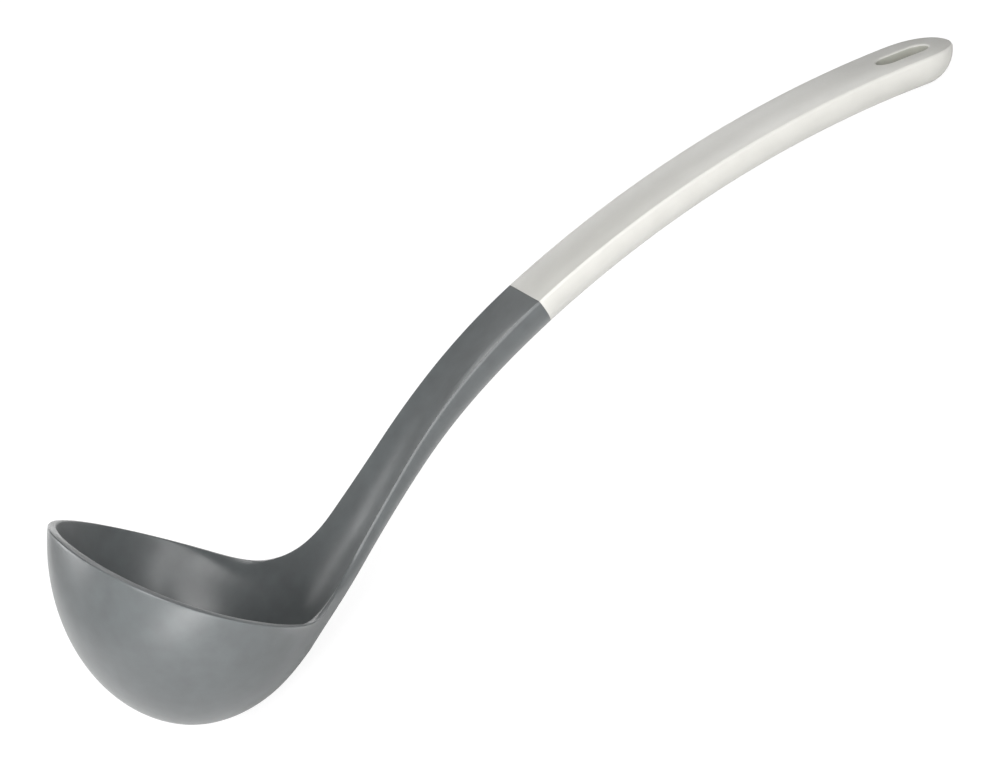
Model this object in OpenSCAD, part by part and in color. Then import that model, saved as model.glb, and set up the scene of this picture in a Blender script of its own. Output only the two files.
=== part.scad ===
// Soup ladle: a deep round bowl and neck in one dark moulding, whose tang is
// bonded into a light handle with a slot to hang it by.
//
// The form is worked out with the bowl upright: its axis is Z, the widest level
// of the belly is at z = 0 and the neck leaves towards +X. The ladle is then laid
// on its belly and the end of its handle, as it rests on a table, and the origin
// is under the middle of its box.

/* [Bowl] */
// Outer diameter of the bowl at its widest
bowl_d = 90; // [76:1:110]
// Depth of the round belly below its widest level
belly_depth = 57; // [48:1:68]
// Wall of the bowl and width of its flat rim
bowl_wall = 2.6; // [2:0.1:3.6]
// How far the middle of the rim lies below the widest level
rim_drop = 11.2; // [6:0.1:16]
// How much the rim falls from its middle towards the neck
rim_fall = 14.4; // [8:0.1:18]
// How much the rim sags between its front and the neck
rim_sag = 3.4; // [0:0.1:6]
// Angle round the bowl, from the handle's side, where the rim turns into the neck
corner_angle = 68; // [60:1:74]
// Rounding of the edges of the rim and of the ridges
edge_round = 0.5; // [0.2:0.1:0.8]

/* [Neck] */
// Slope of the neck where it leaves the belly
neck_angle = 57; // [48:1:64]
// Straight run of the neck, from where it leaves the belly
neck_straight = 67; // [50:1:90]
// Radius of the bend between the straight neck and the handle
neck_bend_r = 215; // [150:5:400]
// Slope of the neck where it meets the handle
joint_angle = 40; // [34:1:45]
// Depth of the neck near the bowl
neck_depth = 8.6; // [7:0.1:11]
// How much the neck widens towards the bowl, on each side
neck_flare = 10.2; // [6:0.2:14]
// Length over which the neck widens
flare_run = 92; // [60:1:110]
// Length of the neck that the rounded corner to the rim takes up
corner_run = 38.6; // [30:0.2:44]
// How far on from the rim the corner's turning point lies
corner_reach = 15; // [10:0.5:18]
// How tightly the corner turns: 1 is gentle and 4 is tight
corner_pull = 1.5; // [1:0.1:4]
// How long the skin below the corner keeps the directions of rim and ridge
guide_lead = 12; // [8:1:16]
// How far the belly is drawn in on both sides below the corners
belly_pinch = 2.4; // [0:0.1:3]
// How early the channel in the neck's top face fades out: 1 is late and 3 is early
channel_fade = 1.3; // [1:0.1:3]
// How long the corner keeps the ridge's direction
ridge_lead = 13.6; // [8:0.2:16]

/* [Handle] */
// Length of the handle along its flat top
handle_len = 164.7; // [140:0.1:190]
// Radius of the handle's long arch
handle_bend_r = 392; // [300:2:700]
// Width of the neck and handle where they meet
handle_w = 26; // [22:0.5:32]
// How much wider the handle is near its end
end_widening = 3; // [0:0.2:5]
// Depth of the handle
handle_depth = 11.7; // [9:0.1:15]
// Width of the narrow land along the ridges
ridge_land = 1; // [0.6:0.1:1.4]
// Length of the rounding of the end, seen from above
end_round = 16; // [10:0.5:20]
// Length of the upswept rounding of the end, seen from the side
end_sweep = 11.5; // [8:0.5:18]

/* [Hang slot] */
// Overall length of the slot
slot_len = 18.4; // [14:0.2:24]
// Width of the slot
slot_w = 9; // [7:0.2:13]
// Distance from the slot's centre to the end of the handle
slot_inset = 16.3; // [13:0.1:24]
// Bevel round the slot's upper edge
slot_bevel = 0.7; // [0.3:0.1:1]

/* [Tang] */
// Length of the tang inside the handle
tang_len = 72; // [40:1:90]
// Wall of the handle round the tang
handle_wall = 2.4; // [1.8:0.1:3]
// Width that the tang loses on each side towards its end
tang_taper = 2; // [0:0.5:3]
// Bond line between the tang and the handle
bond_gap = 0.15; // [0.1:0.05:0.3]
// Room beyond the end of the tang
tang_end_gap = 1; // [0.5:0.5:3]
// Number of glue grooves across the tang
groove_count = 4; // [2:1:6]
// Width of a glue groove
groove_w = 2; // [1:0.5:3]
// Depth of a glue groove
groove_depth = 0.5; // [0.3:0.1:0.8]

/* [Fineness] */
// Steps across the bowl and the underside
cross_steps = 26; // [16:2:28]
// Sections from the front of the bowl to the neck
bowl_rows = 26; // [16:1:30]
// Sections round the corner between bowl and neck
corner_rows = 14; // [8:2:18]
// Sections along the neck
neck_rows = 14; // [8:1:18]
// Sections along the handle, and again round its end
handle_rows = 14; // [8:1:18]

/* [Hidden] */
nylon_colour = "#55595a";
handle_colour = "#cfcecb";

bowl_r = bowl_d / 2;
// Small size that carries a cut past the face that it opens
past = 1;

// Plain helpers
function mix(a, b, t) = a + (b - a) * t;
function smooth(t) = let (c = min(max(t, 0), 1)) c * c * (3 - 2 * c);
function unit3(v) = v / norm(v);

// Belly: a half spheroid of radius bowl_r and depth belly_depth
function to_bowl(p) = [p.x * bowl_r, p.y * bowl_r, p.z * belly_depth];
function to_sphere(p) = [p.x / bowl_r, p.y / bowl_r, p.z / belly_depth];
function belly_normal(p) = unit3([p.x / bowl_r ^ 2, p.y / bowl_r ^ 2, p.z / belly_depth ^ 2]);

// Rim: a point on the belly at an angle round the bowl, 180 at the front
function rim_height(turn) = -rim_drop - rim_fall * cos(turn) + rim_sag * cos(turn) ^ 2;
function rim_point(turn) =
    let (z = rim_height(turn), r = bowl_r * sqrt(1 - (z / belly_depth) ^ 2))
    [r * cos(turn), r * sin(turn), z];

// The neck's underside runs straight on from the belly, where the belly slopes as
// the neck does
leave_ratio = tan(neck_angle) * bowl_r / belly_depth;
leave_turn = atan(leave_ratio);
leave_point = to_bowl([sin(leave_turn), 0, -cos(leave_turn)]);

// Ridge line of the neck and handle in the XZ plane: a straight run, then two arcs
neck_dir = [cos(neck_angle), 0, sin(neck_angle)];
neck_up = [-sin(neck_angle), 0, cos(neck_angle)];
ridge_start = leave_point + neck_depth * neck_up;
neck_bend_run = neck_bend_r * (neck_angle - joint_angle) * PI / 180;
joint_run = neck_straight + neck_bend_run;
tip_run = joint_run + handle_len;
function arc_to(p, from_angle, r, run) =
    let (to_angle = from_angle - run / r * 180 / PI)
    p + r * [sin(from_angle) - sin(to_angle), 0, cos(to_angle) - cos(from_angle)];
bend_start = ridge_start + neck_straight * neck_dir;
joint_point = arc_to(bend_start, neck_angle, neck_bend_r, neck_bend_run);
function ridge_point(run) =
    run < neck_straight ? ridge_start + run * neck_dir :
    run < joint_run ? arc_to(bend_start, neck_angle, neck_bend_r, run - neck_straight) :
    arc_to(joint_point, joint_angle, handle_bend_r, run - joint_run);
function ridge_angle(run) =
    run < neck_straight ? neck_angle :
    run < joint_run ? neck_angle - (run - neck_straight) / neck_bend_r * 180 / PI :
    joint_angle - (run - joint_run) / handle_bend_r * 180 / PI;
function down_at(run) = [sin(ridge_angle(run)), 0, -cos(ridge_angle(run))];

// Half width and depth of the neck and handle along the ridge line
function half_width(run) =
    handle_w / 2 + neck_flare * max(0, 1 - run / flare_run) ^ 2
    + end_widening / 2 * max(0, (run - joint_run) / handle_len) ^ 2;
function depth_at(run) = mix(neck_depth, handle_depth, smooth((run - corner_run) / (joint_run - corner_run)));

// Rounding of the handle's end: how much of the width and depth is left
function end_width_left(run) =
    let (t = max(0, (run - tip_run + end_round) / end_round))
    (1 - min(1, t) ^ 2.3) ^ (1 / 2.3);
function end_depth_left(run) =
    let (t = max(0, (run - tip_run + end_sweep) / end_sweep))
    sqrt(1 - min(1, t) ^ 2);

// Width of the land between the outer and inner edge, from the rim into the ridge
function land_at(run) = mix(bowl_wall, ridge_land, smooth((run - corner_run * 0.5) / (corner_run * 0.6)));
// Depth of the channel that carries the bowl's inside up into the neck's top face
function channel_at(run) =
    (depth_at(run) - bowl_wall) * max(0, 1 - (run - corner_run) / (joint_run - corner_run)) ^ channel_fade;

// Curve across the belly, from one rim point through the keel point to the other
function belly_curve(rim, keel) =
    let (a = to_sphere(rim), b = to_sphere(keel), mid = [a.x, 0, a.z])
    let (sink = norm(b - mid), out = (b - mid) / sink)
    let (r = (a.y ^ 2 + sink ^ 2) / (2 * sink), centre = b - r * out)
    let (sweep = atan2(a.y, r - sink))
    [for (j = [0:cross_steps]) let (t = sweep * (2 * j / cross_steps - 1))
        to_bowl(centre + r * (cos(t) * out + sin(t) * [0, 1, 0]))];
// Half ellipse across the neck or handle, hung from its ridges
function hung_curve(mid, half, sink, down) =
    [for (j = [0:cross_steps]) let (t = 180 * j / cross_steps)
        mid + [0, -half * cos(t), 0] + sink * sin(t) * down];
function mix_curves(a, b, t) = [for (j = [0:cross_steps]) mix(a[j], b[j], t)];
function moved_in(curve, wall) = [for (p = curve) p - wall * belly_normal(p)];
// The same curve drawn in on both sides, halfway between its keel and its ends
function pinched(curve, depth) = [for (j = [0:cross_steps])
    let (t = 2 * j / cross_steps - 1)
    curve[j] - depth * 4 * t ^ 2 * (1 - t ^ 2) * belly_normal(curve[j])];
// The same curve with its two ends bent over by way, which hardly moves the rest
function bent_out(curve, way) = [for (j = [0:cross_steps])
    let (t = 2 * j / cross_steps - 1)
    curve[j] + t ^ 6 * [way.x, sign(t) * way.y, way.z]];

// Edge of a wall: the outer curve starts a little below the edge, the land lies
// between its two rounded corners and the inner curve starts below it again
function eased(curve, up, drop) =
    [for (j = [0:cross_steps]) j == 0 || j == cross_steps ? curve[j] - drop * up : curve[j]];
function land_points(outer, inner, up, drop) =
    let (way = inner - outer, share = min(0.35, drop / norm(way)))
    [outer + share * way, inner - share * way];

// One closed section: outer curve, far land, inner curve back, near land
function section(outer, inner, up, drop, inner_drop) =
    let (far = land_points(outer[cross_steps], inner[cross_steps], up, drop))
    let (near = land_points(outer[0], inner[0], up, drop))
    let (o = eased(outer, up, drop), i = eased(inner, up, inner_drop))
    concat(o, far, [for (j = [cross_steps:-1:0]) i[j]], [near[1], near[0]]);

// Bowl sections, fanned from the front of the rim to where the neck begins
front_turn = 180 - (180 - corner_angle) / (bowl_rows + 1);
front_keel = -asin(rim_height(180) / belly_depth);
last_keel = 90 + leave_turn;
function bowl_outer(share) =
    let (rim = rim_point(mix(front_turn, corner_angle, share)))
    let (turn = mix(front_keel, last_keel, share))
    pinched(belly_curve(rim, to_bowl([-cos(turn), 0, -sin(turn)])), belly_pinch * smooth((share - 0.66) / 0.34));
function bowl_section(share) =
    let (outer = bowl_outer(share))
    section(outer, moved_in(outer, bowl_wall), [0, 0, 1], edge_round, edge_round);

// Corner sections: the rim turns in a tight round corner and then sweeps up into
// the ridge, while the keel runs on straight
corner_from = rim_point(corner_angle);
corner_turn = corner_from + corner_reach * unit3(rim_point(corner_angle - 1) - corner_from);
corner_to = ridge_point(corner_run) + [0, half_width(corner_run), 0];
corner_end = unit3(ridge_point(corner_run + 1) + [0, half_width(corner_run + 1), 0] - corner_to);
sweep_turn = corner_to - ridge_lead * corner_end;
sweep_from = mix(corner_turn, sweep_turn, 0.5);
// Below the edge the skin follows a gentler line, and only its upper part bends out
guide_from = corner_from + guide_lead * unit3(rim_point(corner_angle - 1) - corner_from);
guide_to = corner_to - guide_lead * corner_end;
function guide(t) = (1 - t) ^ 3 * corner_from + 3 * t * (1 - t) ^ 2 * guide_from
    + 3 * t ^ 2 * (1 - t) * guide_to + t ^ 3 * corner_to;
function bend(a, turn, b, pull, t) =
    let (wa = (1 - t) ^ 2, wm = 2 * pull * t * (1 - t), wb = t ^ 2)
    (wa * a + wm * turn + wb * b) / (wa + wm + wb);
function corner_edge(t) =
    t < 0.5 ? bend(corner_from, corner_turn, sweep_from, corner_pull, 2 * t) :
    bend(sweep_from, sweep_turn, corner_to, 1, 2 * t - 1);
function corner_section(t) =
    let (line = guide(t), mid = [line.x, 0, line.z], way = corner_edge(t) - line)
    let (keel = leave_point + corner_run * t ^ 1.2 * neck_dir)
    let (sink = norm(keel - mid), down = (keel - mid) / sink)
    let (like_belly = belly_curve(line, keel), like_neck = hung_curve(mid, line.y, sink, down))
    let (side = mix_curves(like_belly, like_neck, smooth(t)))
    let (inside = hung_curve(mid, line.y - land_at(corner_run * t), sink - bowl_wall, down))
    let (lining = mix_curves(moved_in(side, bowl_wall), inside, smooth(t)))
    let (drawn = belly_pinch * (1 - smooth(t / 0.9)))
    let (outer = pinched(bent_out(side, way), drawn), inner = pinched(bent_out(lining, way), drawn))
    section(outer, inner, unit3(mix([0, 0, 1], -down, smooth(t))), edge_round, edge_round);

// Neck and handle sections, square to the ridge line
function neck_section(run) =
    let (mid = ridge_point(run), down = down_at(run), half = half_width(run))
    let (channel = channel_at(run))
    let (outer = hung_curve(mid, half, depth_at(run), down))
    let (inner = hung_curve(mid, half - land_at(run), channel, down))
    section(outer, inner, -down, edge_round, min(edge_round, channel / 12));
function handle_section(run) =
    let (mid = ridge_point(run), down = down_at(run))
    let (half = half_width(run) * end_width_left(run))
    let (sink = depth_at(run) * end_depth_left(run))
    let (outer = hung_curve(mid, half, sink, down))
    let (inner = hung_curve(mid, half - min(ridge_land, half / 3), 0, down))
    section(outer, inner, -down, min(edge_round, sink / 8), 0);

// Tang section: the handle's section drawn in by its wall on every side
function tang_section(run, ease) =
    let (down = down_at(run), mid = ridge_point(run) + (handle_wall - ease) * down)
    let (drawn = tang_taper * max(0, run - joint_run) / tang_len)
    let (half = half_width(run) - handle_wall * 1.6 - drawn + ease)
    let (sink = depth_at(run) - 2 * handle_wall + 2 * ease)
    [for (j = [0:cross_steps]) let (t = 180 * j / cross_steps)
        mid + [0, -half * cos(t), 0] + sink * sin(t) ^ 0.8 * down];

// Skin between closed sections that all have the same number of points
function skin(rows, points) = [for (i = [0:rows - 2], j = [0:points - 1])
    let (k = (j + 1) % points, a = i * points, b = a + points)
    each [[a + j, b + j, b + k], [a + j, b + k, a + k]]];
// Ladder of triangles between two runs of point numbers
function ladder(one, two) = [for (j = [0:len(one) - 2])
    each [[one[j], two[j + 1], one[j + 1]], [one[j], two[j], two[j + 1]]]];
function flipped(faces) = [for (f = faces) [f[2], f[1], f[0]]];

loop = 2 * (cross_steps + 1) + 4;
outer_ids = [for (j = [0:cross_steps]) j];
inner_ids = [for (j = [0:cross_steps]) loop - 3 - j];
function shifted(ids, by) = [for (n = ids) n + by];

head_sections = concat(
    [for (i = [0:bowl_rows - 1]) bowl_section(i / bowl_rows)],
    [for (i = [0:corner_rows - 1]) corner_section(i / corner_rows)],
    [for (i = [0:neck_rows]) neck_section(mix(corner_run, joint_run, i / neck_rows))]
);

// The rim runs round the front of the bowl along the first section
front_outer = bowl_outer(0);
front_inner = moved_in(front_outer, bowl_wall);
front_land = [for (j = [1:cross_steps - 1])
    land_points(front_outer[j], front_inner[j], [0, 0, 1], edge_round)];
front_section = concat(
    [for (p = front_outer) p - [0, 0, edge_round]],
    [head_sections[0][cross_steps + 1], head_sections[0][cross_steps + 2]],
    [for (j = [cross_steps:-1:0]) front_inner[j] - [0, 0, edge_round]],
    [head_sections[0][loop - 2], head_sections[0][loop - 1]]
);

module bowl_and_neck() {
    rows = len(head_sections);
    last = (rows - 1) * loop;
    extra = rows * loop;
    inner_steps = cross_steps - 1;
    land_out = concat([loop - 1], [for (j = [0:inner_steps - 1]) extra + j], [cross_steps + 1]);
    land_in = concat([loop - 2], [for (j = [0:inner_steps - 1]) extra + inner_steps + j], [cross_steps + 2]);
    points = concat(
        front_section,
        [for (i = [1:rows - 1]) each head_sections[i]],
        [for (pair = front_land) pair[0]],
        [for (pair = front_land) pair[1]]
    );
    polyhedron(points, concat(
        skin(rows, loop),
        flipped(ladder(outer_ids, land_out)),
        flipped(ladder(land_out, land_in)),
        flipped(ladder(land_in, inner_ids)),
        [[last + cross_steps, last + cross_steps + 2, last + cross_steps + 1],
         [last + cross_steps, last + cross_steps + 3, last + cross_steps + 2],
         [last, last + loop - 1, last + loop - 2],
         [last, last + loop - 2, last + loop - 3]],
        ladder(shifted(outer_ids, last), shifted(inner_ids, last))
    ));
}

// Handle sections: even along the length, closer together round the end
even_end = tip_run - max(end_round, end_sweep);
handle_sections = concat(
    [for (i = [0:handle_rows - 1]) handle_section(mix(joint_run, even_end, i / handle_rows))],
    [for (i = [0:handle_rows - 1])
        handle_section(mix(even_end, tip_run, sin(90 * i / handle_rows)))]
);

module handle_body() {
    rows = len(handle_sections);
    last = (rows - 1) * loop;
    tip = rows * loop;
    polyhedron(
        concat([for (s = handle_sections) each s], [ridge_point(tip_run)]),
        concat(
            skin(rows, loop),
            [[cross_steps, cross_steps + 1, cross_steps + 2], [cross_steps, cross_steps + 2, cross_steps + 3],
             [0, loop - 2, loop - 1], [0, loop - 3, loop - 2]],
            flipped(ladder(outer_ids, inner_ids)),
            [for (j = [0:loop - 1]) [last + j, tip, last + (j + 1) % loop]]
        )
    );
}

// Solid along the ridge line inside the handle, grown by ease on every side
module tang_body(from_run, to_run, ease) {
    steps = 12;
    sections = [for (i = [0:steps]) tang_section(mix(from_run, to_run, i / steps), ease)];
    count = cross_steps + 1;
    last = steps * count;
    polyhedron([for (s = sections) each s], concat(
        skin(steps + 1, count),
        [for (j = [1:cross_steps - 1]) [0, j, j + 1]],
        [for (j = [1:cross_steps - 1]) [last, last + j + 1, last + j]]
    ));
}

// Places its children at the ridge line, with +X along it and +Z out of its top
module at_ridge(run) translate(ridge_point(run)) rotate([0, -ridge_angle(run), 0]) children();

module glue_grooves() {
    for (i = [1:groove_count]) {
        run = joint_run + tang_len * i / (groove_count + 1);
        at_ridge(run) {
            translate([-groove_w / 2, -handle_w, -handle_wall - groove_depth])
                cube([groove_w, 2 * handle_w, handle_depth]);
        }
    }
}

module ladle_head() color(nylon_colour) laid_down() {
    bowl_and_neck();
    difference() {
        tang_body(joint_run - 3 * handle_wall, joint_run + tang_len, 0);
        glue_grooves();
    }
}

slot_run = tip_run - slot_inset;
slot_reach = (slot_len - slot_w) / 2;
module hang_slot() {
    cut = handle_depth + 2 * past;
    at_ridge(slot_run) {
        for (side = [-1, 1]) translate([side * slot_reach, 0, past - cut]) cylinder(h = cut, d = slot_w, $fn = 48);
        translate([-slot_reach, -slot_w / 2, past - cut]) cube([2 * slot_reach, slot_w, cut]);
        for (side = [-1, 1]) translate([side * slot_reach, 0, -slot_bevel])
            cylinder(h = slot_bevel + past, r1 = slot_w / 2, r2 = slot_w / 2 + slot_bevel + past, $fn = 48);
        rotate([90, 0, 90]) translate([0, 0, -slot_reach]) linear_extrude(2 * slot_reach)
            polygon([for (side = [-1, 1], step = [0, slot_bevel + past])
                let (n = side < 0 ? step : slot_bevel + past - step)
                [side * (slot_w / 2 + n), n - slot_bevel]]);
    }
}

module handle_grip() color(handle_colour) laid_down() difference() {
    handle_body();
    tang_body(joint_run - past, joint_run + tang_len + tang_end_gap, bond_gap);
    hang_slot();
}

// Points of the handle's underside: its own, and those on the edge of the slot
function beside_slot(p) =
    let (v = p - ridge_point(slot_run), along = v * [cos(ridge_angle(slot_run)), 0, sin(ridge_angle(slot_run))])
    norm([max(0, abs(along) - slot_reach), v.y]) > slot_w / 2;
function under_grip(run, side) =
    let (half = half_width(run) * end_width_left(run), sink = depth_at(run) * end_depth_left(run))
    ridge_point(run) + [0, side, 0] + sink * sqrt(1 - (side / half) ^ 2) * down_at(run);
slot_edge = [for (end = [-1, 1], t = [-90:5:90])
    let (out = slot_reach + slot_w / 2 * cos(t))
    under_grip(slot_run + end * out * (1 + handle_depth / handle_bend_r), slot_w / 2 * sin(t))];
grip_points = concat(slot_edge,
    [for (s = handle_sections, j = [0:cross_steps]) if (beside_slot(s[j])) s[j]]);

// Resting place: the angle at which the belly and the end of the handle both touch
belly_points = [for (s = head_sections, j = [0:cross_steps]) s[j]];
function turned(p, angle) = [p.x * cos(angle) + p.z * sin(angle), 0, p.z * cos(angle) - p.x * sin(angle)];
function lowest(points, angle) = min([for (p = points) turned(p, angle).z]);
function settle(low, high, tries) =
    let (angle = (low + high) / 2)
    tries == 0 ? angle :
    lowest(grip_points, angle) > lowest(belly_points, angle) ? settle(angle, high, tries - 1) :
    settle(low, angle, tries - 1);
rest_angle = settle(10, 80, 30);
grip_all = concat([for (s = handle_sections) each s], [ridge_point(tip_run)]);
ends = [for (p = concat(belly_points, grip_all)) turned(p, rest_angle).x];
rest_middle = (min(ends) + max(ends)) / 2;
rest_height = lowest(belly_points, rest_angle);

module laid_down() translate([-rest_middle, 0, -rest_height]) rotate([0, rest_angle, 0]) children();

ladle_head();
handle_grip();
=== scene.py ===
import math

import bmesh
import bpy
import numpy as np
from mathutils import Matrix, Vector


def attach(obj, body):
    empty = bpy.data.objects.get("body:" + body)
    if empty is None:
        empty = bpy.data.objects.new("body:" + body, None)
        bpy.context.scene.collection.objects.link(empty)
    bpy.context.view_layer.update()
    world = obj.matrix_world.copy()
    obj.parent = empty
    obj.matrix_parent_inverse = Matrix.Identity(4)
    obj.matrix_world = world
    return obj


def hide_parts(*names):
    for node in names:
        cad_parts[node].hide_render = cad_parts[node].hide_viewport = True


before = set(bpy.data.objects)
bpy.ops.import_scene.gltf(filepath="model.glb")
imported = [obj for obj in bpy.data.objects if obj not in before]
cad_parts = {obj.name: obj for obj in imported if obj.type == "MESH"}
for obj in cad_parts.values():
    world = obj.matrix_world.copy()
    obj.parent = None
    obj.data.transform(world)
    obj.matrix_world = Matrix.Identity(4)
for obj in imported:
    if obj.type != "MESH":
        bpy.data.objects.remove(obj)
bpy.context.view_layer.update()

mm = 0.001
print("frame loaded")


# Small helpers

def smoothStep(t):
    t = min(max(t, 0.0), 1.0)
    return t * t * (3 - 2 * t)


def mix(a, b, t):
    return a + (b - a) * t


def unit(v):
    return v / np.linalg.norm(v)


def addNode(tree, kind, values={}, links={}, **settings):
    node = tree.nodes.new(kind)
    for name, setting in settings.items():
        setattr(node, name, setting)
    for key, value in values.items():
        node.inputs[key].default_value = value
    for key, source in links.items():
        tree.links.new(source, node.inputs[key])
    return node


def linearColour(hexCode):
    shares = [int(hexCode[i:i + 2], 16) / 255 for i in (1, 3, 5)]
    linear = [s / 12.92 if s <= 0.04045 else ((s + 0.055) / 1.055) ** 2.4 for s in shares]
    return (*linear, 1.0)


# The line along the ridges of the neck and handle, with the bowl upright: mm and degrees
ridgeLine = {
    "neckSlope": 57.0,         # where the neck leaves the belly
    "straight": 67.0,          # straight run of the neck
    "neckRadius": 215.0,       # bend between the neck and the handle
    "jointSlope": 40.0,        # where the neck meets the handle
    "archRadius": 392.0,       # long arch of the handle
    "handleLength": 164.7,
}

ladleHead = {
    "width": 90.0,             # outer diameter of the bowl
    "bellyDepth": 57.0,
    "wall": 2.6,
    "rimDrop": 11.2,           # how far the rim's sides lie below the widest circle
    "rimFall": 14.4,           # how far the rim falls from there towards the neck
    "rimSag": 3.4,             # how far its sides sag
    "frontTurn": 150.0,        # where the first section ends on the rim, whose front is at 180
    "pinch": 2.4,              # how far the belly is drawn in on both sides below the corners
    "pinchFrom": 0.66,         # share of the bowl's rows at which that begins
    "pinchTo": 0.9,            # share of the corner's rows at which it has faded
    "cornerAngle": 68.0,       # where the rim starts to turn into the neck
    "cornerReach": 15.0,
    "cornerPull": 1.5,
    "cornerRun": 38.6,
    "keelPower": 1.2,          # how the keel's points are spaced below the corner
    "guideLead": 12.0,         # how long the skin there keeps the directions of rim and ridge
    "ridgeLead": 13.6,
    "neckDepth": 8.6,
    "neckFlare": 10.2,
    "flareRun": 92.0,
    "channelFade": 1.3,
    "landAcross": 0.4,         # the ridge's narrow land, which slants outwards
    "landDrop": 0.7,
    "landNarrows": (-0.2, 0.6),     # start and length, in shares of the corner's rows
    "landSlants": (0.3, 0.6),
    "rimRounding": (0.5, 0.4),      # outer and inner edge of the rim
    "ridgeRounding": (0.16, 0.1),   # the same edges along the ridges
    "roundingSteps": 4,
    "crossSteps": 96,
    "bowlRows": 72,
    "cornerRows": 64,
    "neckRows": 72,
    "slantPoints": 12,         # points at each end of a section that follow the slanted land
    "fadeRows": 20,            # rows before the joint in which the channel's edge fades out
    "easeRows": 30,            # rows of the bowl that are eased into the corner
    "easeFade": 16,
    "easeRounds": 40,
}

handleGrip = {
    "width": 26.0,             # at the joint
    "depth": 11.7,
    "endWidening": 3.0,
    "endRound": 16.0,          # length of the rounded end, from above
    "endPower": 2.3,           # 2 is an ellipse, and more is squarer
    "endSweep": 11.5,          # length of the upswept end, from the side
    "endSpine": 0.3,           # how far the middle line runs on into the rounded end
    "edgeSlant": (             # the slanted edge of the top: in and down
        (0.42, 0.0), (0.37, 0.02), (0.32, 0.08), (0.08, 0.57), (0.03, 0.68), (0.0, 0.82)),
    "jointShrink": (0.992, 0.99),   # the end at the joint is this much narrower and shallower
    "jointDrop": 0.1,
    "jointLead": 0.12,
    "slotLength": 18.4,
    "slotWidth": 9.0,
    "slotInset": 16.3,         # slot's centre to the end
    "slotLip": 0.7,
    "slotSpare": 4.0,          # how far the cutter reaches out below
    "evenRows": 120,
    "endRows": 56,
    "endRowPower": 1.4,        # how the rows are spaced towards the tip
    "underSteps": 30,
    "underStart": 0.05,
}

bowlRadius = ladleHead["width"] / 2
bellySize = np.array([bowlRadius, bowlRadius, ladleHead["bellyDepth"]])
neckSlope = math.radians(ridgeLine["neckSlope"])
jointSlope = math.radians(ridgeLine["jointSlope"])

# The underside of the neck runs straight on from where the belly has its slope
leaveTurn = math.atan(math.tan(neckSlope) * bowlRadius / ladleHead["bellyDepth"])
leavePoint = np.array([math.sin(leaveTurn), 0, -math.cos(leaveTurn)]) * bellySize
neckDirection = np.array([math.cos(neckSlope), 0, math.sin(neckSlope)])
neckUp = np.array([-math.sin(neckSlope), 0, math.cos(neckSlope)])
ridgeStart = leavePoint + ladleHead["neckDepth"] * neckUp
bendStart = ridgeStart + ridgeLine["straight"] * neckDirection
jointRun = ridgeLine["straight"] + ridgeLine["neckRadius"] * (neckSlope - jointSlope)


def ridgeAngle(run):
    return neckSlope - max(0.0, run - ridgeLine["straight"]) / ridgeLine["neckRadius"]


def ridgePoint(run):
    if run < ridgeLine["straight"]:
        return ridgeStart + run * neckDirection
    a = ridgeAngle(run)
    return bendStart + ridgeLine["neckRadius"] * np.array(
        [math.sin(neckSlope) - math.sin(a), 0, math.cos(a) - math.cos(neckSlope)])


def halfWidth(run):
    flare = ladleHead["neckFlare"] * max(0.0, 1 - run / ladleHead["flareRun"]) ** 2
    return handleGrip["width"] / 2 + flare


def neckDepthAt(run):
    share = (run - ladleHead["cornerRun"]) / (jointRun - ladleHead["cornerRun"])
    return mix(ladleHead["neckDepth"], handleGrip["depth"], smoothStep(share))


# The head: bowl and neck in one skin, from the front of the rim to the joint. Each row is a
# section of the skin from one edge across the keel to the other, at these shares

crossShares = np.linspace(-1, 1, ladleHead["crossSteps"] + 1)
pinchShape = (4 * crossShares ** 2 * (1 - crossShares ** 2))[:, None]
edgeShape = (crossShares ** 6)[:, None]
mirrored = np.stack(
    [np.ones_like(crossShares), np.sign(crossShares), np.ones_like(crossShares)], axis=1)


def rimPoint(turn):
    c = math.cos(math.radians(turn))
    z = -ladleHead["rimDrop"] - ladleHead["rimFall"] * c + ladleHead["rimSag"] * c * c
    r = bowlRadius * math.sqrt(1 - (z / ladleHead["bellyDepth"]) ** 2)
    return np.array([r * c, r * math.sin(math.radians(turn)), z])


def bellyNormals(points):
    normals = points / bellySize ** 2
    return normals / np.linalg.norm(normals, axis=1)[:, None]


def movedIn(points, wall):
    return points - wall * bellyNormals(points)


def pinched(points, share):
    return points - ladleHead["pinch"] * share * pinchShape * bellyNormals(points)


# An arc over the belly, from a point of the rim through the keel to its mirror image
def bellyCurve(rim, keel):
    a, b = rim / bellySize, keel / bellySize
    middle = np.array([a[0], 0, a[2]])
    sink = np.linalg.norm(b - middle)
    out = (b - middle) / sink
    r = (a[1] ** 2 + sink ** 2) / (2 * sink)
    turns = math.atan2(a[1], r - sink) * crossShares[:, None]
    arc = b - r * out + r * (np.cos(turns) * out + np.sin(turns) * np.array([0, 1, 0]))
    return arc * bellySize


# Half an ellipse, hung between the two ridges
def hungCurve(middle, half, sink, down):
    turns = math.pi / 2 * (crossShares[:, None] + 1)
    return middle - half * np.cos(turns) * np.array([0, 1, 0]) + sink * np.sin(turns) * down


# A point on the way from a to b, drawn towards the corner by the pull
def bend(a, corner, b, pull, t):
    weights = ((1 - t) ** 2, 2 * pull * t * (1 - t), t ** 2)
    return (weights[0] * a + weights[1] * corner + weights[2] * b) / sum(weights)


# How far the rim's flat land has turned into the ridge: it narrows first, then it slants
def ridgeShares(row):
    t = (row - ladleHead["bowlRows"]) / ladleHead["cornerRows"]
    return [smoothStep((t - start) / length)
            for start, length in (ladleHead["landNarrows"], ladleHead["landSlants"])]


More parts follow.
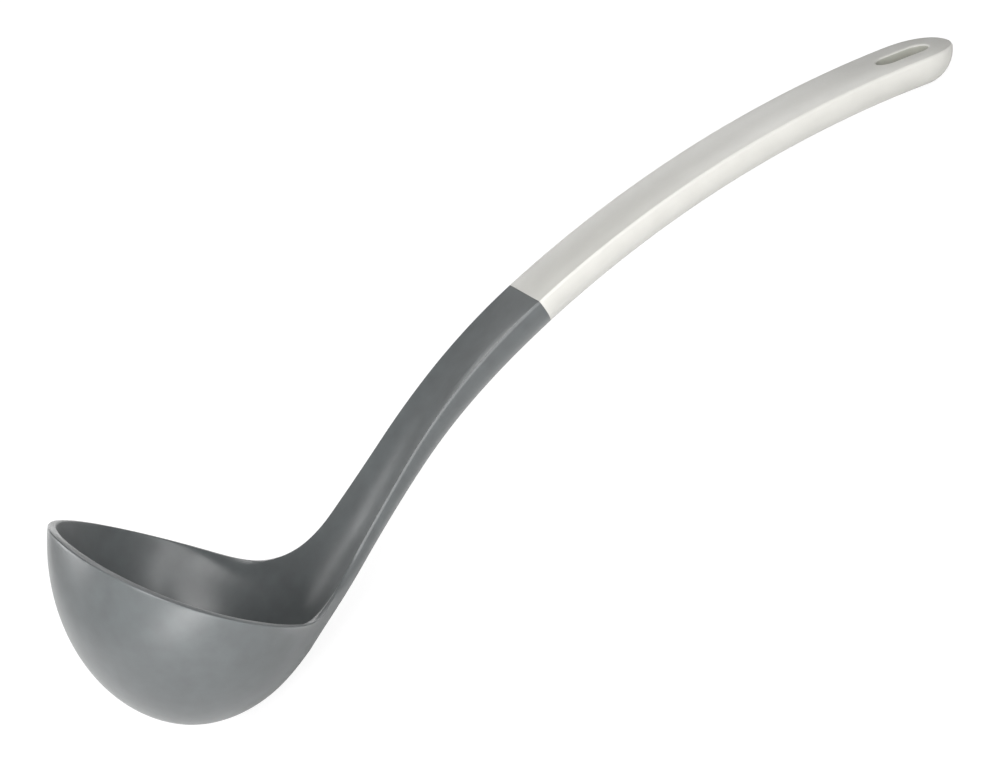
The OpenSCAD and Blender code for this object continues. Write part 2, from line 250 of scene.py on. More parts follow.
# Lowers both ends of a section along its own skin
def lowerEnds(curve, drop):
    count = ladleHead["slantPoints"]
    for part in (curve[:count], curve[:-count - 1:-1]):
        steps = np.linalg.norm(np.diff(part, axis=0), axis=1)
        arc = np.concatenate(([0.0], np.cumsum(steps)))
        newArc = np.linspace(drop, arc[-1], len(part))
        part[:] = np.stack([np.interp(newArc, arc, part[:, k].copy()) for k in range(3)], axis=1)


# Eases the skin along its rows where bowl, corner and neck meet; rim and ridge stay put
def eased(sheet):
    freeAcross = (1 - crossShares ** 8)[:, None]
    begin = ladleHead["bowlRows"] - ladleHead["easeRows"]
    freeRows = [smoothStep((i - begin) / ladleHead["easeFade"]) for i in range(1, len(sheet) - 1)]
    freeAlong = np.array(freeRows)[:, None, None]
    for _ in range(ladleHead["easeRounds"]):
        ahead, behind = sheet[2:] - sheet[1:-1], sheet[:-2] - sheet[1:-1]
        a, b = [1 / np.linalg.norm(step, axis=2, keepdims=True) for step in (ahead, behind)]
        sheet[1:-1] += 0.5 * freeAcross * freeAlong * (ahead * a + behind * b) / (a + b)
    return sheet


def headSections():
    outer, inner = [], []
    wall = ladleHead["wall"]
    cornerAngle, cornerRun = ladleHead["cornerAngle"], ladleHead["cornerRun"]

    # the bowl, from its front to the corners
    frontKeel = math.asin(-rimPoint(180)[2] / ladleHead["bellyDepth"])
    for i in range(ladleHead["bowlRows"]):
        share = i / ladleHead["bowlRows"]
        turn = mix(frontKeel, math.pi / 2 + leaveTurn, share)
        keel = np.array([-math.cos(turn), 0, -math.sin(turn)]) * bellySize
        curve = bellyCurve(rimPoint(mix(ladleHead["frontTurn"], cornerAngle, share)), keel)
        drawn = smoothStep((share - ladleHead["pinchFrom"]) / (1 - ladleHead["pinchFrom"]))
        curve = pinched(curve, drawn)
        outer.append(curve)
        inner.append(movedIn(curve, wall))

    def ridgeEdge(run):
        return ridgePoint(run) + np.array([0, halfWidth(run), 0])

    # the corners: the edge turns tightly, and the skin below follows a gentler line, so that
    # only its upper part bends out to the edge
    start, end = rimPoint(cornerAngle), ridgeEdge(cornerRun)
    rimAhead = unit(rimPoint(cornerAngle - 1) - start)
    ridgeAhead = unit(ridgeEdge(cornerRun + 1) - end)
    corner = start + ladleHead["cornerReach"] * rimAhead
    sweep = end - ladleHead["ridgeLead"] * ridgeAhead
    join = mix(corner, sweep, 0.5)
    gentleStart = start + ladleHead["guideLead"] * rimAhead
    gentleEnd = end - ladleHead["guideLead"] * ridgeAhead
    for i in range(ladleHead["cornerRows"]):
        t = i / ladleHead["cornerRows"]
        if t < 0.5:
            edge = bend(start, corner, join, ladleHead["cornerPull"], 2 * t)
        else:
            edge = bend(join, sweep, end, 1, 2 * t - 1)
        guide = ((1 - t) ** 3 * start + 3 * t * (1 - t) ** 2 * gentleStart
                 + 3 * t * t * (1 - t) * gentleEnd + t ** 3 * end)
        middle = np.array([guide[0], 0, guide[2]])
        keel = leavePoint + cornerRun * t ** ladleHead["keelPower"] * neckDirection
        sink = np.linalg.norm(keel - middle)
        down = (keel - middle) / sink
        neckShare = smoothStep(t)
        curve = mix(bellyCurve(guide, keel), hungCurve(middle, guide[1], sink, down), neckShare)
        channel = hungCurve(middle, guide[1] - wall, sink - wall, down)
        lining = mix(movedIn(curve, wall), channel, neckShare)
        toEdge = edgeShape * (edge - guide) * mirrored
        drawn = 1 - smoothStep(t / ladleHead["pinchTo"])
        outer.append(pinched(curve + toEdge, drawn))
        inner.append(pinched(lining + toEdge, drawn))

    # the neck, with the channel that fades out along it
    for i in range(ladleHead["neckRows"] + 1):
        share = i / ladleHead["neckRows"]
        run = mix(cornerRun, jointRun, share)
        a = ridgeAngle(run)
        down = np.array([math.sin(a), 0, -math.cos(a)])
        middle, half, depth = ridgePoint(run), halfWidth(run), neckDepthAt(run)
        land = mix(wall, ladleHead["landAcross"], share ** 2)
        channelDepth = (depth - wall) * (1 - share) ** ladleHead["channelFade"]
        outer.append(hungCurve(middle, half, depth, down))
        inner.append(hungCurve(middle, half - land, channelDepth, down))

    # the land between the two skins narrows and slants into the ridge
    outer, inner = eased(np.array(outer)), eased(np.array(inner))
    for i, (curve, lining) in enumerate(zip(outer, inner)):
        narrowing, slanting = ridgeShares(i)
        land = curve[0] - lining[0]
        width = np.linalg.norm(land)
        wanted = mix(width, ladleHead["landAcross"], narrowing)
        lining += edgeShape * (1 - wanted / width) * land * mirrored * mirrored[0]
        if slanting > 0:
            lowerEnds(curve, ladleHead["landDrop"] * slanting)
    return outer, inner


def headMesh(outer, inner):
    rows, across = outer.shape[:2]
    rimEdges, ridgeEdges = ladleHead["rimRounding"], ladleHead["ridgeRounding"]
    bm = bmesh.new()
    rounding = bm.edges.layers.float.new("bevel_weight_edge")
    out = [[bm.verts.new(p) for p in row] for row in outer.tolist()]
    inn = [[bm.verts.new(p) for p in row] for row in inner.tolist()]
    for i in range(rows - 1):
        for j in range(across - 1):
            bm.faces.new((out[i][j], out[i + 1][j], out[i + 1][j + 1], out[i][j + 1]))
            bm.faces.new((inn[i][j], inn[i][j + 1], inn[i + 1][j + 1], inn[i + 1][j]))
        bm.faces.new((out[i][0], inn[i][0], inn[i + 1][0], out[i + 1][0]))
        bm.faces.new((out[i][-1], out[i + 1][-1], inn[i + 1][-1], inn[i][-1]))
    for j in range(across - 1):
        bm.faces.new((out[0][j], out[0][j + 1], inn[0][j + 1], inn[0][j]))
        bm.faces.new((out[-1][j], inn[-1][j], inn[-1][j + 1], out[-1][j + 1]))

    # an edge's weight is its share of the widest rounding
    def mark(a, b, width):
        bm.edges.get((a, b))[rounding] = width / rimEdges[0]

    for i in range(rows - 1):
        narrowing = ridgeShares(i)[0]
        outerWidth, innerWidth = [mix(a, b, narrowing) for a, b in zip(rimEdges, ridgeEdges)]
        fade = min(1.0, (rows - 1 - i) / ladleHead["fadeRows"])
        for j in (0, across - 1):
            mark(out[i][j], out[i + 1][j], outerWidth)
            mark(inn[i][j], inn[i + 1][j], innerWidth * fade)
    for j in range(across - 1):
        mark(out[0][j], out[0][j + 1], rimEdges[0])
        mark(inn[0][j], inn[0][j + 1], rimEdges[1])
    return bm


outerCurves, innerCurves = headSections()
print("head: sections worked out")


# The handle, first as a straight blank along X with its flat top at z = 0

def gripHalf(x):
    past = x - ridgeLine["handleLength"] + handleGrip["endRound"]
    t = max(0.0, past) / handleGrip["endRound"]
    widening = handleGrip["endWidening"] / 2 * (x / ridgeLine["handleLength"]) ** 2
    power = handleGrip["endPower"]
    return (handleGrip["width"] / 2 + widening) * max(0.0, 1 - t ** power) ** (1 / power)


def gripUnder(x, y):
    past = x - ridgeLine["handleLength"] + handleGrip["endSweep"]
    t = max(0.0, past) / handleGrip["endSweep"]
    across = y / max(gripHalf(x), 1e-6)
    return (-handleGrip["depth"] * math.sqrt(max(0.0, 1 - t * t))
            * math.sqrt(max(0.0, 1 - across * across)))


def gripBlank():
    endRound, endRows = handleGrip["endRound"], handleGrip["endRows"]
    evenEnd = ridgeLine["handleLength"] - endRound

    # the outline from above, with the direction out of it at each point
    plan = [(x, gripHalf(x)) for x in np.linspace(0, evenEnd, handleGrip["evenRows"] + 1)[:-1]]
    for i in range(endRows + 1):
        t = math.sin(math.pi / 2 * i / endRows) ** (1 / handleGrip["endRowPower"])
        x = evenEnd + endRound * t
        plan.append((x, gripHalf(x) if i < endRows else 0.0))
    plan = np.array(plan)
    along = np.gradient(plan, axis=0)
    along[-1] = (0, -1)
    normals = np.stack([-along[:, 1], along[:, 0]], axis=1)
    normals /= np.linalg.norm(normals, axis=1)[:, None]

    # a column for each point: the top's middle, the slanted edge and the round underside
    columns = []
    steps, begin = handleGrip["underSteps"], handleGrip["underStart"]
    for (x, y), (nx, ny) in zip(plan, normals):
        spine = x if x < evenEnd else evenEnd + (x - evenEnd) * handleGrip["endSpine"]
        column = [(spine, 0.0, 0.0)]
        for into, down in handleGrip["edgeSlant"]:
            column.append((x - into * nx, y - into * ny, -down))
        for step in range(1, steps + 1):
            q = 1 - math.cos(math.pi / 2 * (begin + (1 - begin) * step / steps))
            ux, uy = mix(x, spine, q), mix(y, 0.0, q)
            column.append((ux, uy, gripUnder(ux, uy)))
        columns.append(column)

    # the joint end is eased by a hair all round, which draws the fine line of the joint
    narrower, shallower = handleGrip["jointShrink"]
    columns[0] = [(0.0, y * narrower, z * shallower - handleGrip["jointDrop"])
                  for x, y, z in columns[0]]
    columns.insert(1, [(handleGrip["jointLead"], y, z) for x, y, z in columns[1]])

    bm = bmesh.new()
    for side in (1, -1):
        verts = [[bm.verts.new((x, side * y, z)) for x, y, z in column] for column in columns]
        for k in range(len(columns) - 1):
            for n in range(len(columns[0]) - 1):
                ring = [verts[k][n], verts[k + 1][n], verts[k + 1][n + 1], verts[k][n + 1]]
                bm.faces.new(ring if side < 0 else ring[::-1])
    bmesh.ops.remove_doubles(bm, verts=bm.verts, dist=1e-4)
    bmesh.ops.dissolve_degenerate(bm, edges=bm.edges, dist=1e-5)
    bmesh.ops.holes_fill(bm, edges=[e for e in bm.edges if e.is_boundary])
    bmesh.ops.recalc_face_normals(bm, faces=bm.faces)
    return bm


# Geometry Nodes: cuts the hang slot with its rounded lip, marks the slot's wall, and then
# bends the blank along the arch

def handleTree():
    tree = bpy.data.node_groups.new("handleShape", "GeometryNodeTree")
    sizes = ("Slot Length", "Slot Width", "Slot Centre", "Slot Lip", "Cut Depth",
             "Joint Slope", "Arch Radius")
    inputs = [("Blank", "Geometry"), *((size, "Float") for size in sizes), ("Finish", "Material")]
    for name, kind in inputs:
        tree.interface.new_socket(name, in_out="INPUT", socket_type="NodeSocket" + kind)
    tree.interface.new_socket("Handle", in_out="OUTPUT", socket_type="NodeSocketGeometry")
    given = addNode(tree, "NodeGroupInput").outputs
    m, xyz = "ShaderNodeMath", "ShaderNodeCombineXYZ"

    # cutter: a cylinder in levels 1 apart, of which the lowest and the highest reach out of
    # the blank and the others round the lip
    levels, lipSweep = 12, 1.42
    top = levels / 2
    cylinder = addNode(tree, "GeometryNodeMeshCylinder", {
        "Vertices": 96, "Side Segments": levels, "Radius": 1.0, "Depth": 2 * top})
    where = addNode(tree, "GeometryNodeInputPosition").outputs[0]
    place = addNode(tree, "ShaderNodeSeparateXYZ", {}, {0: where}).outputs
    lipTurn, above, below = [
        addNode(tree, "ShaderNodeMapRange", {1: low, 2: high, 3: first, 4: last},
                {0: place["Z"]}).outputs[0]
        for low, high, first, last in (
            (1 - top, top - 1, 0.0, lipSweep), (top - 1, top, 0.0, 1.0), (-top, 1 - top, 1.0, 0.0))]
    sine = addNode(tree, m, {}, {0: lipTurn}, operation="SINE").outputs[0]
    cosine = addNode(tree, m, {}, {0: lipTurn}, operation="COSINE").outputs[0]
    outward = addNode(tree, m, {0: 1.0}, {1: cosine}, operation="SUBTRACT").outputs[0]
    outward = addNode(tree, m, {}, {0: outward, 1: above}, operation="ADD").outputs[0]
    half = addNode(tree, m, {1: 0.5}, {0: given["Slot Width"]}, operation="MULTIPLY").outputs[0]
    radius = addNode(tree, m, {}, {0: outward, 1: given["Slot Lip"], 2: half},
                     operation="MULTIPLY_ADD").outputs[0]
    rise = addNode(tree, m, {1: 1.0}, {0: sine}, operation="SUBTRACT").outputs[0]
    rise = addNode(tree, m, {}, {0: rise, 1: given["Slot Lip"], 2: above},
                   operation="MULTIPLY_ADD").outputs[0]
    fall = addNode(tree, m, {}, {0: below, 1: given["Cut Depth"]}, operation="MULTIPLY").outputs[0]
    height = addNode(tree, m, {}, {0: rise, 1: fall}, operation="SUBTRACT").outputs[0]
    reach = addNode(tree, m, {}, {0: given["Slot Length"], 1: given["Slot Width"]},
                    operation="SUBTRACT").outputs[0]
    reach = addNode(tree, m, {1: 0.5}, {0: reach}, operation="MULTIPLY").outputs[0]
    side = addNode(tree, m, {}, {0: place["X"]}, operation="SIGN").outputs[0]
    shift = addNode(tree, m, {}, {0: side, 1: reach, 2: given["Slot Centre"]},
                    operation="MULTIPLY_ADD").outputs[0]
    slotX = addNode(tree, m, {}, {0: place["X"], 1: radius, 2: shift},
                    operation="MULTIPLY_ADD").outputs[0]
    slotY = addNode(tree, m, {}, {0: place["Y"], 1: radius}, operation="MULTIPLY").outputs[0]
    target = addNode(tree, xyz, {}, {"X": slotX, "Y": slotY, "Z": height}).outputs[0]
    cutter = addNode(tree, "GeometryNodeSetPosition", {},
                     {"Geometry": cylinder.outputs["Mesh"], "Position": target})
    cut = addNode(tree, "GeometryNodeMeshBoolean", {},
                  {"Mesh 1": given["Blank"], "Mesh 2": cutter.outputs[0]},
                  operation="DIFFERENCE", solver="EXACT")

    # mark the faces of the slot's wall, which stand upright on the slot's outline, for the painted
    # shade that the material puts on them
    wallReach, uprightLimit = 0.05, 0.5
    along = addNode(tree, m, {}, {0: place["X"], 1: given["Slot Centre"]},
                    operation="SUBTRACT").outputs[0]
    along = addNode(tree, m, {}, {0: along}, operation="ABSOLUTE").outputs[0]
    along = addNode(tree, m, {}, {0: along, 1: reach}, operation="SUBTRACT").outputs[0]
    along = addNode(tree, m, {1: 0.0}, {0: along}, operation="MAXIMUM").outputs[0]
    aside = addNode(tree, xyz, {}, {"X": along, "Y": place["Y"]}).outputs[0]
    away = addNode(tree, "ShaderNodeVectorMath", {}, {0: aside},
                   operation="LENGTH").outputs["Value"]
    beyond = addNode(tree, m, {}, {0: away, 1: half}, operation="SUBTRACT").outputs[0]
    onOutline = addNode(tree, m, {1: wallReach}, {0: beyond}, operation="LESS_THAN").outputs[0]
    normal = addNode(tree, "GeometryNodeInputNormal").outputs[0]
    facing = addNode(tree, "ShaderNodeSeparateXYZ", {}, {0: normal}).outputs["Z"]
    facing = addNode(tree, m, {}, {0: facing}, operation="ABSOLUTE").outputs[0]
    upright = addNode(tree, m, {1: uprightLimit}, {0: facing}, operation="LESS_THAN").outputs[0]
    wall = addNode(tree, m, {}, {0: onOutline, 1: upright}, operation="MULTIPLY").outputs[0]
    marked = addNode(tree, "GeometryNodeStoreNamedAttribute", {"Name": "slotWallShade"},
                     {"Geometry": cut.outputs["Mesh"], "Value": wall},
                     data_type="FLOAT", domain="FACE")

    # bend: the slope falls evenly along the run, and z stays square to the arch
    first, arch = given["Joint Slope"], given["Arch Radius"]
    turned = addNode(tree, m, {}, {0: place["X"], 1: arch}, operation="DIVIDE").outputs[0]
    slope = addNode(tree, m, {}, {0: first, 1: turned}, operation="SUBTRACT").outputs[0]
    reachOut = addNode(tree, m, {}, {0: arch, 1: place["Z"]}, operation="ADD").outputs[0]
    sines, cosines = [
        [addNode(tree, m, {}, {0: angle}, operation=kind).outputs[0] for angle in (first, slope)]
        for kind in ("SINE", "COSINE")]
    backX = addNode(tree, m, {}, {0: sines[1], 1: reachOut}, operation="MULTIPLY").outputs[0]
    bentX = addNode(tree, m, {}, {0: sines[0], 1: arch}, operation="MULTIPLY").outputs[0]
    bentX = addNode(tree, m, {}, {0: bentX, 1: backX}, operation="SUBTRACT").outputs[0]
    backZ = addNode(tree, m, {}, {0: cosines[0], 1: arch}, operation="MULTIPLY").outputs[0]
    bentZ = addNode(tree, m, {}, {0: cosines[1], 1: reachOut}, operation="MULTIPLY").outputs[0]
    bentZ = addNode(tree, m, {}, {0: bentZ, 1: backZ}, operation="SUBTRACT").outputs[0]
    arched = addNode(tree, xyz, {}, {"X": bentX, "Y": place["Y"], "Z": bentZ}).outputs[0]
    bent = addNode(tree, "GeometryNodeSetPosition", {},
                   {"Geometry": marked.outputs[0], "Position": arched})
    smooth = addNode(tree, "GeometryNodeSetShadeSmooth", {}, {"Geometry": bent.outputs[0]})
    real = addNode(tree, "GeometryNodeRealizeInstances", {}, {"Geometry": smooth.outputs[0]})
    done = addNode(tree, "GeometryNodeSetMaterial", {},
                   {"Geometry": real.outputs[0], "Material": given["Finish"]})
    addNode(tree, "NodeGroupOutput", {}, {0: done.outputs[0]})
    return tree


# Materials: sizes and heights of their patterns in mm, roughness as least and most

nylonLook = {
    "colours": ("#555859", "#5b5f60"),
    "cloudSize": 6.0,
    "handlingSize": 18.0,
    "roughness": (0.31, 0.36),
    "grainSize": 0.35,         # spark grain of 0.1 mm, drawn coarser so that it shows
    "grainHeight": 0.02,
    "grainStrength": 0.25,
    "ior": 1.53,
    "sheen": 0.16,
    "sheenRoughness": 0.5,
}

paintLook = {
    "colours": ("#cac9c4", "#cfcec9"),
    "slotShadeColour": "#a4a49c",   # painted shade inside the slot
    "cloudSize": 9.0,
    "flakeSize": 0.6,
    "roughness": (0.36, 0.46),
    "peelSize": 1.0,           # orange peel, which its strength makes a few microns high
    "peelHeight": 0.03,
    "peelStrength": 0.2,
    "ior": 1.5,
}

# Noise keeps to the middle of its range, so colours and roughness are spread over that part
noiseRange = (0.3, 0.7)


# Glass-filled nylon from a spark-eroded mould: the eye sees a dark neutral grey with a
# soft broad gloss, faintly clouded by the fibres, and a fine even grain close up
def mouldedNylon():
    material = bpy.data.materials.new("mouldedGlassFilledNylon")
    material.use_nodes = True
    tree = material.node_tree
    shader = tree.nodes["Principled BSDF"]
    place = addNode(tree, "ShaderNodeTexCoord").outputs["Object"]
    clouds = addNode(tree, "ShaderNodeTexNoise", {
        "Scale": 1 / (nylonLook["cloudSize"] * mm), "Detail": 3.0, "Roughness": 0.55},
        {"Vector": place})
    colours = addNode(tree, "ShaderNodeValToRGB", {}, {"Fac": clouds.outputs["Fac"]})
    stops = colours.color_ramp.elements
    for stop, position, hexCode in zip(stops, noiseRange, nylonLook["colours"]):
        stop.position, stop.color = position, linearColour(hexCode)
    tree.links.new(colours.outputs["Color"], shader.inputs["Base Color"])
    handling = addNode(tree, "ShaderNodeTexNoise", {
        "Scale": 1 / (nylonLook["handlingSize"] * mm), "Detail": 2.0}, {"Vector": place})
    (low, high), (least, most) = noiseRange, nylonLook["roughness"]
    gloss = addNode(tree, "ShaderNodeMapRange", {1: low, 2: high, 3: least, 4: most},
                    {0: handling.outputs["Fac"]})
    tree.links.new(gloss.outputs[0], shader.inputs["Roughness"])
    grain = addNode(tree, "ShaderNodeTexNoise", {
        "Scale": 1 / (nylonLook["grainSize"] * mm), "Detail": 2.0, "Roughness": 0.6},
        {"Vector": place})
    bump = addNode(tree, "ShaderNodeBump", {
        "Strength": nylonLook["grainStrength"], "Distance": nylonLook["grainHeight"] * mm},
        {"Height": grain.outputs["Fac"]})
    tree.links.new(bump.outputs[0], shader.inputs["Normal"])
    shader.inputs["IOR"].default_value = nylonLook["ior"]
    shader.inputs["Sheen Weight"].default_value = nylonLook["sheen"]
    shader.inputs["Sheen Roughness"].default_value = nylonLook["sheenRoughness"]
    return material


# ABS under a fine satin paint: the eye sees a pale warm grey, brighter on its rounded
# edges, with a very faint orange peel and flake that break the gloss up, and a darker
# grey painted inside the slot as shade, where the slot's walls keep the light out
def satinAbs():
    material = bpy.data.materials.new("satinPaintedAbs")
    material.use_nodes = True
    tree = material.node_tree
    shader = tree.nodes["Principled BSDF"]
    place = addNode(tree, "ShaderNodeTexCoord").outputs["Object"]
    clouds = addNode(tree, "ShaderNodeTexNoise", {
        "Scale": 1 / (paintLook["cloudSize"] * mm), "Detail": 3.0}, {"Vector": place})
    colours = addNode(tree, "ShaderNodeValToRGB", {}, {"Fac": clouds.outputs["Fac"]})
    stops = colours.color_ramp.elements
    for stop, position, hexCode in zip(stops, noiseRange, paintLook["colours"]):
        stop.position, stop.color = position, linearColour(hexCode)
    # painted shade: the slot's wall is mixed to a darker grey, standing in for the shade inside the
    # slot
    slotShadeMask = addNode(tree, "ShaderNodeAttribute", attribute_name="slotWallShade").outputs["Fac"]
    # inputs 6 and 7 are the two colours to mix, and output 2 is the mixed colour
    shadedPaint = addNode(tree, "ShaderNodeMix", {7: linearColour(paintLook["slotShadeColour"])},
                      {0: slotShadeMask, 6: colours.outputs["Color"]}, data_type="RGBA")
    tree.links.new(shadedPaint.outputs[2], shader.inputs["Base Color"])
    flake = addNode(tree, "ShaderNodeTexNoise", {
        "Scale": 1 / (paintLook["flakeSize"] * mm), "Detail": 1.0}, {"Vector": place})
    (low, high), (least, most) = noiseRange, paintLook["roughness"]
    gloss = addNode(tree, "ShaderNodeMapRange", {1: low, 2: high, 3: least, 4: most},
                    {0: flake.outputs["Fac"]})
    tree.links.new(gloss.outputs[0], shader.inputs["Roughness"])
    peel = addNode(tree, "ShaderNodeTexNoise", {
        "Scale": 1 / (paintLook["peelSize"] * mm), "Detail": 2.0}, {"Vector": place})
    bump = addNode(tree, "ShaderNodeBump", {
        "Strength": paintLook["peelStrength"], "Distance": paintLook["peelHeight"] * mm},
        {"Height": peel.outputs["Fac"]})
    tree.links.new(bump.outputs[0], shader.inputs["Normal"])
    shader.inputs["IOR"].default_value = paintLook["ior"]
    return material


nylonFinish, handleFinish = mouldedNylon(), satinAbs()
print("materials made")


# Building the two pieces with the bowl upright

def evaluatedMesh(obj, name):
    evaluated = obj.evaluated_get(bpy.context.evaluated_depsgraph_get())
    mesh = bpy.data.meshes.new_from_object(evaluated)
    mesh.name = name
    bpy.data.objects.remove(obj)
    return mesh


def objectFrom(bm, name):
    mesh = bpy.data.meshes.new(name)
    bm.to_mesh(mesh)
    bm.free()
    obj = bpy.data.objects.new(name, mesh)
    bpy.context.scene.collection.objects.link(obj)
    return obj


def buildHead():
    raw = objectFrom(headMesh(outerCurves, innerCurves), "headRaw")
    raw.data.shade_smooth()
    rounding = raw.modifiers.new("edges", "BEVEL")
    rounding.limit_method = "WEIGHT"
    rounding.width = ladleHead["rimRounding"][0]
    rounding.segments = ladleHead["roundingSteps"]
    rounding.use_clamp_overlap = False
    return evaluatedMesh(raw, "ladleHeadSkin")


def buildGrip():
    raw = objectFrom(gripBlank(), "gripRaw")
    shape = raw.modifiers.new("shape", "NODES")
    shape.node_group = handleTree()
    sizes = {
        "Slot Length": handleGrip["slotLength"],
        "Slot Width": handleGrip["slotWidth"],
        "Slot Centre": ridgeLine["handleLength"] - handleGrip["slotInset"],
        "Slot Lip": handleGrip["slotLip"],
        "Cut Depth": handleGrip["depth"] + handleGrip["slotSpare"],
        "Joint Slope": jointSlope,
        "Arch Radius": ridgeLine["archRadius"],
        "Finish": handleFinish,
    }
    for item in shape.node_group.interface.items_tree:
        if item.name in sizes:
            shape[item.identifier] = sizes[item.name]
    mesh = evaluatedMesh(raw, "handleGripSkin")
    mesh.transform(Matrix.Translation(Vector(ridgePoint(jointRun))))
    return mesh


headSkin = buildHead()
gripSkin = buildGrip()
print("pieces built:", len(headSkin.polygons), "and", len(gripSkin.polygons), "faces")


# Laying the ladle down: halving finds the angle at which the belly and the handle's end
# both touch

layDownSearch = {
    "from": 10.0,              # degrees
    "to": 80.0,
    "halvings": 40,
}


def meshPoints(mesh):
    co = np.empty(len(mesh.vertices) * 3)
    mesh.vertices.foreach_get("co", co)
    return co.reshape(-1, 3)


def lowest(points, angle):
    return (points[:, 2] * math.cos(angle) - points[:, 0] * math.sin(angle)).min()


headPoints, gripPoints = meshPoints(headSkin), meshPoints(gripSkin)
low, high = math.radians(layDownSearch["from"]), math.radians(layDownSearch["to"])
for _ in range(layDownSearch["halvings"]):
    restAngle = (low + high) / 2
    if lowest(gripPoints, restAngle) > lowest(headPoints, restAngle):
        low = restAngle
    else:
        high = restAngle
turn = Matrix.Rotation(restAngle, 4, "Y")
everyX = np.concatenate([
    points[:, 0] * math.cos(restAngle) + points[:, 2] * math.sin(restAngle)
    for points in (headPoints, gripPoints)])
restMove = Vector((-(everyX.min() + everyX.max()) / 2, 0, -lowest(headPoints, restAngle)))
layDown = Matrix.Scale(mm, 4) @ Matrix.Translation(restMove) @ turn
print("rest angle", round(math.degrees(restAngle), 3), "moved", [round(v, 3) for v in restMove])

sharpAngle = math.radians(38)


def finishPiece(mesh, name, material, node):
    mesh.transform(layDown)
    mesh.materials.clear()
    mesh.materials.append(material)
    mesh.shade_smooth()
    mesh.set_sharp_from_angle(angle=sharpAngle)
    obj = bpy.data.objects.new(name, mesh)
    bpy.context.scene.collection.objects.link(obj)
    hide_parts(node)
    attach(obj, "root")


finishPiece(headSkin, "ladleHead", nylonFinish, "ladle_head")
finishPiece(gripSkin, "handleGrip", handleFinish, "handle_grip")
print("pieces laid down")


# Camera: the photograph's view, stated with the bowl upright and then laid down with it

photoView = {
    "azimuth": -21.0,
    "elevation": 13.64,
    "roll": 1.31,
    "distance": 920.7,
    "target": (98.7, 0.0, 44.4),
    "sensorWidth": 36,
    "focalRatio": 2.927,       # focal length in widths of the sensor
    "clip": (0.01, 50),        # metres
}


def directionOf(azimuth, elevation):
    a, e = math.radians(azimuth), math.radians(elevation)
    return Vector((math.sin(a) * math.cos(e), -math.cos(a) * math.cos(e), math.sin(e)))


def photoCamera():
    a, roll = math.radians(photoView["azimuth"]), math.radians(photoView["roll"])
    back = directionOf(photoView["azimuth"], photoView["elevation"])
    levelRight = Vector((math.cos(a), math.sin(a), 0))
    levelUp = back.cross(levelRight)
    right = math.cos(roll) * levelRight + math.sin(roll) * levelUp
    up = math.cos(roll) * levelUp - math.sin(roll) * levelRight
    camera = bpy.data.objects.new("photoCamera", bpy.data.cameras.new("photoCamera"))
    camera.data.lens = photoView["sensorWidth"] * photoView["focalRatio"]
    camera.data.sensor_width = photoView["sensorWidth"]
    camera.data.clip_start, camera.data.clip_end = photoView["clip"]
    laid = turn.to_3x3()
    camera.matrix_world = Matrix((laid @ right, laid @ up, laid @ back)).transposed().to_4x4()
    camera.location = layDown @ (Vector(photoView["target"]) + photoView["distance"] * back)
    bpy.context.scene.collection.objects.link(camera)
    bpy.context.scene.camera = camera


photoCamera()
print("camera set")


# Studio: soft boxes given by where they stand around the ladle as it lies, and a white
# world and floor, which are white for camera rays alone. Metres

studio = {
    "lampDistance": 1.2,
    "worldLight": 0.04,
    "floorHalf": 6.0,
    "floorGap": 0.00005,       # below the ladle
    "floorGrey": 0.85,
    "floorGlow": 1.15,
    "glowShare": 0.8,
}

softBoxes = {
    "frontLeft": {"azimuth": -40, "elevation": 28, "size": (0.64, 0.42), "radiance": 6.9},
    "front": {"azimuth": -8, "elevation": 28, "size": (0.7, 0.42), "radiance": 3.9},
    "frontHigh": {"azimuth": -4, "elevation": 48, "size": (0.7, 0.42), "radiance": 6.2},
    "frontRight": {"azimuth": 14, "elevation": 8, "size": (0.9, 0.42), "radiance": 4.5},
    "backLeft": {"azimuth": -127, "elevation": 32, "size": (0.9, 0.42), "radiance": 6.2},
    "backRight": {"azimuth": 135, "elevation": 32, "size": (0.6, 0.42), "radiance": 3.7},
    "behind": {"azimuth": 178, "elevation": 5, "size": (1.2, 0.16), "radiance": 3.3},
    "low": {"azimuth": -43, "elevation": 0.6, "size": (0.3, 0.36), "radiance": 8.6,
            "distance": 0.46, "faces": (0, 90)},
}


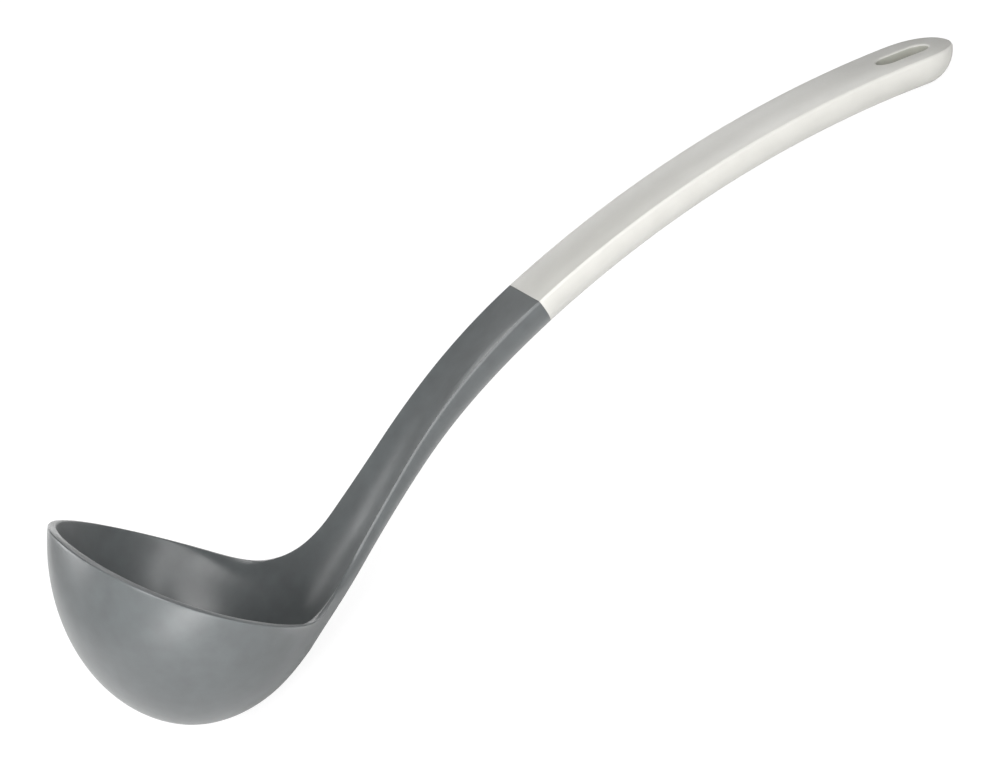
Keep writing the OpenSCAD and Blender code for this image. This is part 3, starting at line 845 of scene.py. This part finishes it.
def addSoftBox(name, box):
    lamp = bpy.data.lights.new(name, "AREA")
    lamp.shape = "RECTANGLE"
    lamp.size, lamp.size_y = box["size"]
    lamp.energy = box["radiance"] * math.pi * lamp.size * lamp.size_y
    obj = bpy.data.objects.new(name, lamp)
    direction = directionOf(box["azimuth"], box["elevation"])
    obj.location = direction * box.get("distance", studio["lampDistance"])
    facing = -directionOf(*box["faces"]) if "faces" in box else direction
    obj.rotation_euler = facing.to_track_quat("Z", "Y").to_euler()
    bpy.context.scene.collection.objects.link(obj)


def whiteWorld():
    world = bpy.data.worlds.new("studio")
    world.use_nodes = True
    tree = world.node_tree
    background = tree.nodes["Background"]
    ray = addNode(tree, "ShaderNodeLightPath").outputs
    strength = addNode(tree, "ShaderNodeMapRange", {
        1: 0.0, 2: 1.0, 3: studio["worldLight"], 4: 1.0}, {0: ray["Is Camera Ray"]})
    tree.links.new(strength.outputs[0], background.inputs["Strength"])
    background.inputs["Color"].default_value = (1, 1, 1, 1)
    bpy.context.scene.world = world


def paleFloor():
    bm = bmesh.new()
    bmesh.ops.create_grid(bm, x_segments=1, y_segments=1, size=studio["floorHalf"])
    floor = objectFrom(bm, "floor")
    floor.location.z = -studio["floorGap"]
    material = bpy.data.materials.new("matteWhiteSheet")
    material.use_nodes = True
    tree = material.node_tree
    tree.nodes.clear()
    ray = addNode(tree, "ShaderNodeLightPath").outputs
    share = addNode(tree, "ShaderNodeMath", {1: studio["glowShare"]}, {0: ray["Is Camera Ray"]},
                    operation="MULTIPLY")
    grey = studio["floorGrey"]
    diffuse = addNode(tree, "ShaderNodeBsdfDiffuse", {"Color": (grey, grey, grey, 1)})
    glow = addNode(tree, "ShaderNodeEmission", {
        "Color": (1, 1, 1, 1), "Strength": studio["floorGlow"]})
    sheet = addNode(tree, "ShaderNodeMixShader", {}, {
        0: share.outputs[0], 1: diffuse.outputs[0], 2: glow.outputs[0]})
    addNode(tree, "ShaderNodeOutputMaterial", {}, {0: sheet.outputs[0]})
    floor.data.materials.append(material)


for name, box in softBoxes.items():
    addSoftBox(name, box)
whiteWorld()
paleFloor()
bpy.context.scene.view_settings.view_transform = "Standard"
print("studio set")
